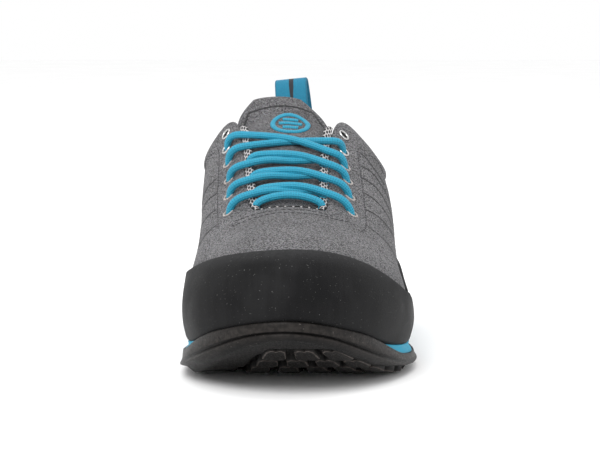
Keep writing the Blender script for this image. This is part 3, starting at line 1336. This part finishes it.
def make_tongue(looks):
    """Padded tongue: suede outside with a seam sunk round its head, lining behind."""
    face, normal = tongue_surface()
    side, up = run_over(face, 1), run_over(face, 0)
    from_side = np.minimum(side, side[:, -1:] - side)
    from_top = up[-1:] - up
    head = from_top * TONGUE_HEAD_SEAM
    shape = rounding(np.minimum(from_side, from_top), TONGUE_EDGE_ROUND)
    seam = sum(np.exp(-((a - TONGUE_SEAM) / MM) ** 2) * (b > TONGUE_SEAM)
               for a, b in ((head, from_side), (from_side, head)))
    groove = TONGUE_GROOVE * np.clip(seam, 0, 1) * smooth_share(up / up.max(), 0.75, 0.85)
    waves = TONGUE_WAVES * np.sin(side / (7 * MM)) * np.sin(up / (9 * MM)) * shape
    half = TONGUE_WALL / 2
    outer = face + normal * (waves - half + half * shape - groove)[..., None]
    inner = face + normal * (-half - half * shape)[..., None]
    faces = grid_faces(*TONGUE_GRID)
    back = [tuple(i + side.size for i in f[::-1]) for f in faces]
    tongue = make_object("tongue_suede", np.concatenate([outer, inner]).reshape(-1, 3), faces + back,
                         [looks["tongue"], looks["lining"]], [0] * len(faces) + [1] * len(back))
    finish_piece(tongue, ["tongue"])
    stitch_tongue(looks, outer, normal, np.minimum(from_side, head))
    make_badge(looks, outer, normal)
    return tongue


def stitch_tongue(looks, outer, normal, level):
    """Stitches round the tongue's head, where the distance in from its edge reaches the seam's."""
    rows, columns = TONGUE_GRID
    left = []
    for r in range(int(rows * 0.80), rows, 3):
        inside = np.where(level[r, :columns // 2] >= TONGUE_SEAM)[0]
        if len(inside):
            left.append((r, inside[0]))
    top, first = left[-1]
    right = [(r, columns - 1 - c) for r, c in left]
    path = left + [(top, c) for c in range(first + 3, columns - 1 - first, 4)] + right[::-1]
    places = even_path([outer[r, c] for r, c in path], 0.8 * MM)
    turned = even_path([normal[r, c] for r, c in path], 0.02)
    normals = unit(turned[np.linspace(0, len(turned) - 1, len(places)).astype(int)])
    heap = Heap()
    heap.add(*ribbon_shape(places, normals, TONGUE_SEAM_WIDTH), row=0)
    stitch_run(heap, places, normals, TONGUE_STITCH_PITCH, TONGUE_STITCH_LENGTH, row=1)
    return heap.finish("tongue_stitches", [looks["line"], looks["thread"]], "suede")


# Plain embroidered mark on the tongue, in millimetres: the half sizes of an oval ring, the place and half
# length of three bars in it, its middle across and along the shoe, how much the slope shortens it seen from
# above, and its thread's radius.
BADGE_RING = (9.0, 9.4)
BADGE_BARS = ((-4.4, 4.0), (0.0, 6.0), (4.4, 4.0))
BADGE_PLACE = (-4.9, 31.5)
BADGE_SLOPE = 0.87
BADGE_RADIUS = 1.35 * MM


def make_badge(looks, outer, normal):
    """Raised embroidery that follows the tongue."""
    flat, normals = outer.reshape(-1, 3), normal.reshape(-1, 3)

    def place(x, y):
        goal = np.array((BADGE_PLACE[0] + x, BADGE_PLACE[1] + y * BADGE_SLOPE)) * MM
        distance = np.linalg.norm(flat[:, :2] - goal, axis=1)
        near = np.argsort(distance)[:6]
        share = 1 / (distance[near] + 0.2 * MM)
        share = share / share.sum()
        return np.array((*goal, share @ flat[near, 2])), unit(share @ normals[near])

    heap = Heap()
    angle = np.linspace(0, math.tau, 64)
    curves = [[(BADGE_RING[0] * math.cos(a), BADGE_RING[1] * math.sin(a)) for a in angle]]
    curves += [[(x, y) for x in np.linspace(-half, half, 12)] for y, half in BADGE_BARS]
    for curve in curves:
        path, guide = np.transpose([place(x, y) for x, y in curve], (1, 0, 2))
        heap.add(*tube_shape(path + guide * 0.15 * MM, BADGE_RADIUS, 10, flatten=0.5, normal=guide))
    return heap.finish("tongue_embroidery", [looks["cord"]], "cord")


# Net trim along the throat's edge.

# Section of the trim: distances in from the throat's edge and out from the wall, in millimetres.
TRIM_SECTION = ((-0.3, -1.2), (-0.3, -0.4), (0.2, -0.1), (1.2, -0.2), (2.3, -0.45), (3.4, -0.85), (4.0, -1.3),
                (4.2, -2.0), (3.9, -2.6))

# How many stations the trim reaches from the toe on both sides, its columns, the share of its full width at
# the foot of the throat, and the share by which it narrows towards its ends.
TRIM_REACH = 4.62
TRIM_COLUMNS = 420
TRIM_FOOT = 0.22
TRIM_NARROWING = 0.5


def make_trim(looks):
    """Net binding along the throat's edge, narrow across its foot and wide up both facings."""
    t = TOE + np.linspace(-TRIM_REACH, TRIM_REACH, TRIM_COLUMNS)
    from_toe = np.abs(t - TOE)
    narrowed = 1 - TRIM_NARROWING * smooth_share(from_toe, 4.5, TRIM_REACH)
    width = TRIM_FOOT + (1 - TRIM_FOOT) * smooth_share(from_toe, 1.7, 2.4) * narrowed
    inward, out = (np.array(column)[:, None] for column in zip(*TRIM_SECTION))
    points = edge_point(np.broadcast_to(t, (len(inward), len(t))), inward * width, out * (0.6 + 0.4 * width))
    uv = np.stack(np.broadcast_arrays(inward * width * MM, run_of(points[3])[None]), -1)
    heap = Heap()
    heap.add(points, grid_faces(*points.shape[:2]), uv)
    return heap.finish("throat_trim", [looks["net"]], "suede")


# Laces.

LACE_RADIUS = LACE_DIAMETER / 2
LACE_SOFTENING = 34
LACE_STEP = 0.7 * MM
LACE_SIDES = 18

# Each strand's route by the side it starts from: shifts in stations of where it crosses its own edge of the
# throat and reaches the far one, and its rises in millimetres at a third and two thirds of the way across.
Route = namedtuple("Route", "own_shift far_shift rises")
ROUTES = {"medial": Route(-0.11, -0.07, (1.8, 0.2)), "lateral": Route(-0.10, -0.02, (2.9, 2.6))}

# How a strand goes under the far edge: distances inward from it and out from the wall, in millimetres.
UNDER_EDGE = ((5.6, 0.9), (2.8, -0.9), (-0.5, -2.7), (-4.5, -4.4))

# The top crossing runs on over the far facing: stations from the toe where it meets the far edge, and rises.
TOP_ROUTES = {"medial": (4.27, (0.9, 0.8)), "lateral": (4.41, (2.6, 2.2))}


def edge_point(t, inward, out):
    """Point some millimetres inward from the throat's edge, along the wall's slope, and out from it."""
    edge = wall(t, EDGE)
    slope = unit(edge - wall(t, EDGE - 0.01))
    inward, out = (np.asarray(part)[..., None] * MM for part in (inward, out))
    return edge + slope * inward + wall_normal(t, EDGE) * out


# How a strand leaves its eyelet: height shares past the hole's middle and distances out from the wall. Then
# shares of its way over the facing and how far its underside lies off it, and its place over the throat's
# edge. The distances are in millimetres.
MOUTH = ((-0.03, -2.6), (0.01, 0.2))
OVER_FACING = ((0.30, 1.0), (0.62, 1.9))
OVER_EDGE = (-0.6, 3.0)


def facing_run(t, v, edge_t):
    """Points from inside an eyelet up over its facing to the throat's edge."""

    def over(share, out):
        return wall(t + (edge_t - t) * share, v + (EDGE + 0.02 - v) * share, LACE_RADIUS + out * MM)

    mouth = [wall(t, v + past, out * MM) for past, out in MOUTH]
    return mouth + [over(*place) for place in OVER_FACING] + [edge_point(edge_t, *OVER_EDGE)]


def strand_path(row, side):
    """From inside an eyelet, over its facing and the tongue, under the far facing or, last, to its eyelet."""
    far_side = "lateral" if side == "medial" else "medial"
    ahead = 1 if side == "lateral" else -1
    t, v = eyelet_place(side, row)
    route = ROUTES[side]
    start = facing_run(t, v, t + ahead * route.own_shift)
    if row < CROSSINGS:
        far_t = eyelet_place(far_side, row)[0] - ahead * route.far_shift
        end = [edge_point(far_t, inward, out) for inward, out in UNDER_EDGE]
        rises = route.rises
    else:
        station, rises = TOP_ROUTES[side]
        end = facing_run(*eyelet_place(far_side, row + 1), TOE - ahead * station)[::-1]
    span = end[0] - start[-1]
    middle = [start[-1] + span * share + np.array((0, 0, rise * MM))
              for share, rise in zip((1 / 3, 2 / 3), rises)]
    path = even_path(start + middle + end, LACE_STEP)
    for _ in range(LACE_SOFTENING):
        path[1:-1] = (path[:-2] + 2 * path[1:-1] + path[2:]) / 4
    return path


def make_laces(looks):
    """Four crossings of two strands, and the first run under the lowest one."""
    for row in range(1, CROSSINGS + 1):
        heap = Heap()
        for side in ("medial", "lateral"):
            heap.add(*tube_shape(strand_path(row, side), LACE_RADIUS, LACE_SIDES))
        heap.finish(f"lace_strands_{row}", [looks["cord"]], "cord", [f"lace_crossing_{row}"])
    medial, lateral = ([edge_point(TOE + side * BAR_PLACE, *end) for end in BAR_ENDS] for side in (-1, 1))
    middle = (medial[1] + lateral[1]) / 2 + np.array((0, 0, BAR_ARCH * MM))
    path = even_path([*medial, middle, *lateral[::-1]], LACE_STEP)
    heap = Heap()
    heap.add(*tube_shape(path, LACE_RADIUS, LACE_SIDES))
    heap.finish("lace_first_run", [looks["cord"]], "cord", ["lace_bar"])


# Eyelets.

# Section of a metal grommet as radius and height in millimetres, and the middle and half sizes of the oval
# section of the rim round a plain eyelet.
GROMMET_PROFILE = ((2.25, -2.0), (2.25, 0.3), (2.45, 0.7), (2.75, 0.85), (3.1, 0.65), (3.3, 0.15),
                   (3.25, -0.2), (2.5, -0.2), (2.5, -2.0))
RIM_MIDDLE = (2.6, 0.12)
RIM_HALF = (0.55, 0.34)


def turned_shape(profile, segments=36):
    """Ring turned from a closed profile of radius and height in millimetres."""
    angle = np.linspace(0, math.tau, segments, endpoint=False)
    radius, height = np.array(profile).T[..., None] * MM
    points = np.stack(np.broadcast_arrays(radius * np.cos(angle), radius * np.sin(angle), height), -1)
    count = len(profile) * segments
    faces = grid_faces(len(profile) + 1, segments, closed=True)
    return points.reshape(-1, 3), [tuple(i % count for i in f) for f in faces]


def rim_profile(steps=14):
    """Points round the oval section of a plain eyelet's rim."""
    return [(RIM_MIDDLE[0] + RIM_HALF[0] * math.cos(a), RIM_MIDDLE[1] + RIM_HALF[1] * math.sin(a))
            for a in np.linspace(0, math.tau, steps, endpoint=False)]


def make_eyelets(looks):
    """A metal grommet in each hole of the top rows, and a bound rim round each of the others."""
    rims = Heap()
    for side, row, t, v in eyelet_places():
        metal = row in METAL_ROWS
        points, faces = turned_shape(GROMMET_PROFILE if metal else rim_profile())
        points = placed(points, eyelet_frame(t, v))
        if metal:
            heap = Heap()
            heap.add(points, [f[::-1] for f in faces])
            heap.finish(f"grommet_{side}_{row}", [looks["metal"]], "metal", [f"metal_eyelet_{side}_{row}"])
        else:
            rims.add(points, faces)
    rims.finish("eyelet_rims", [looks["cut_edge"]], "suede")


# Pull loop.

# Section of the webbing, thicker along both edges: shares of its width and of its thickness.
LOOP_SECTION = ((-0.5, 0.0), (-0.47, 0.5), (-0.40, 0.62), (-0.2, 0.5), (0.0, 0.5), (0.2, 0.5), (0.40, 0.62),
                (0.47, 0.5), (0.5, 0.0), (0.47, -0.5), (0.2, -0.5), (-0.2, -0.5), (-0.47, -0.5))


def make_pull_loop(looks):
    """Webbing loop with both legs sewn in to the collar's back."""
    path = even_path(loop_line(), 0.9 * MM)
    normal = unit(np.cross(np.gradient(path, axis=0), np.array((1.0, 0, 0))))
    section = np.array(LOOP_SECTION)
    across, thick = section.T[..., None]
    points = path[:, None] + np.array((LOOP_WIDTH, 0, 0)) * across + normal[:, None] * thick * LOOP_THICKNESS
    points = placed(points.reshape(-1, 3), loop_place())
    rows, columns = len(path), len(section)
    faces = grid_faces(rows, columns, closed=True) + [f[::-1] for f in end_faces(rows, columns)]
    uv = np.stack(np.broadcast_arrays(section[None, :, 0] + 0.5, run_of(path)[:, None]), -1)
    heap = Heap()
    heap.add(points, faces, uv)
    loop = heap.finish("pull_loop_webbing", [looks["webbing"]], "webbing", ["pull_loop"])
    set_attribute(loop, "height", points[:, 2])
    loop.data.set_sharp_from_angle(angle=math.radians(50))
    return loop


# Stage.

def make_stage():
    """Plain pale floor just under the sole."""
    n = Nodes("floor", 0.9, specular=0.2)
    n.finish(n.fade(n.noise(8, 2.0), 0.3, 0.7, PAPER, PAPER_LIGHT))
    heap = Heap()
    corners = ((-1, -1, 0), (1, -1, 0), (1, 1, 0), (-1, 1, 0))
    heap.add(np.array(corners) * FLOOR_HALF, [(0, 1, 2, 3)])
    floor = heap.build("floor", [n.material])
    floor.location.z = -FLOOR_DROP


# Half the floor's side in metres, and how far it lies below the sole.
FLOOR_HALF = 6.0
FLOOR_DROP = 0.4 * MM

# Rectangular lights: place, the point they face, width and height in metres, and power in watts.
Light = namedtuple("Light", "name place target size power")
LIGHTS = [Light(*row) for row in (
    ("key", (-0.7, -1.6, 1.6), (0, -0.02, 0.06), (1.5, 1.2), 34),
    ("fill", (1.4, -1.5, 1.4), (0, 0, 0.06), (1.8, 1.6), 4),
    ("top", (0, 0.5, 1.8), (0, 0, 0.05), (2.2, 1.6), 9),
)]

# The camera's lens in millimetres, its place and the point it faces.
LENS = 138
CAMERA_PLACE = (0, -1.143, 0.1735)
CAMERA_TARGET = (0, -0.064, 0.0696)


def aim(name, data, place, target):
    """Object for a light or a camera at a place, facing a point."""
    made = bpy.data.objects.new(name, data)
    made.location = place
    made.rotation_euler = (Vector(target) - Vector(place)).to_track_quat("-Z", "Y").to_euler()
    bpy.context.scene.collection.objects.link(made)
    return made


def make_lights():
    """Soft lights and an even white world round them."""
    for light in LIGHTS:
        data = bpy.data.lights.new(light.name, "AREA")
        data.shape = "RECTANGLE"
        data.size, data.size_y = light.size
        data.energy = light.power
        aim(light.name, data, light.place, light.target)
    world = bpy.data.worlds.new("studio")
    world.use_nodes = True
    background = world.node_tree.nodes["Background"]
    background.inputs["Color"].default_value = (1, 1, 1, 1)
    background.inputs["Strength"].default_value = 1.0
    bpy.context.scene.world = world


def make_camera():
    """Camera at the photo's angle, and plain colours."""
    data = bpy.data.cameras.new("camera")
    data.sensor_width = 36
    data.lens = LENS
    data.clip_start = 0.01
    bpy.context.scene.camera = aim("camera", data, CAMERA_PLACE, CAMERA_TARGET)
    bpy.context.scene.view_settings.view_transform = "Standard"


def main():
    looks = {
        "suede": suede_material("suede", 1250),
        "tongue": suede_material("tongue_suede", 2000, lift=-0.01),
        "rand": rand_material(),
        "outsole": tread_material(),
        "foam": foam_material(),
        "cord": cord_material(),
        "webbing": webbing_material(),
        "thread": thread_material("thread", THREAD),
        "line": thread_material("cut_line", LINE),
        "net": net_material(),
        "cut_edge": beige_material(),
        "lining": lining_material("lining", LINING, LINING_LIGHT),
        "footbed": lining_material("footbed", FOOTBED, FOOTBED_LIGHT),
        "metal": metal_material(),
    }
    make_camera()
    make_lights()
    make_stage()
    make_upper(looks)
    make_seams(looks)
    rand_piece("toe_rand_rubber", TOE_RAND_ENDS, "toe", RAND_CLEARANCE + RAND_WALL, looks["rand"], "toe_rand")
    side_ends = (TOE_RAND_ENDS[1] - RAND_OVERLAP, TOE_RAND_ENDS[0] + STATIONS + RAND_OVERLAP)
    thickness = RAND_CLEARANCE + SIDE_RAND_WALL
    rand_piece("side_rand_rubber", side_ends, "side", thickness, looks["rand"], "side_rand")
    make_midsole(looks)
    make_outsole(looks)
    make_tongue(looks)
    make_trim(looks)
    make_laces(looks)
    make_eyelets(looks)
    make_pull_loop(looks)
    make_footbed(looks)


main()
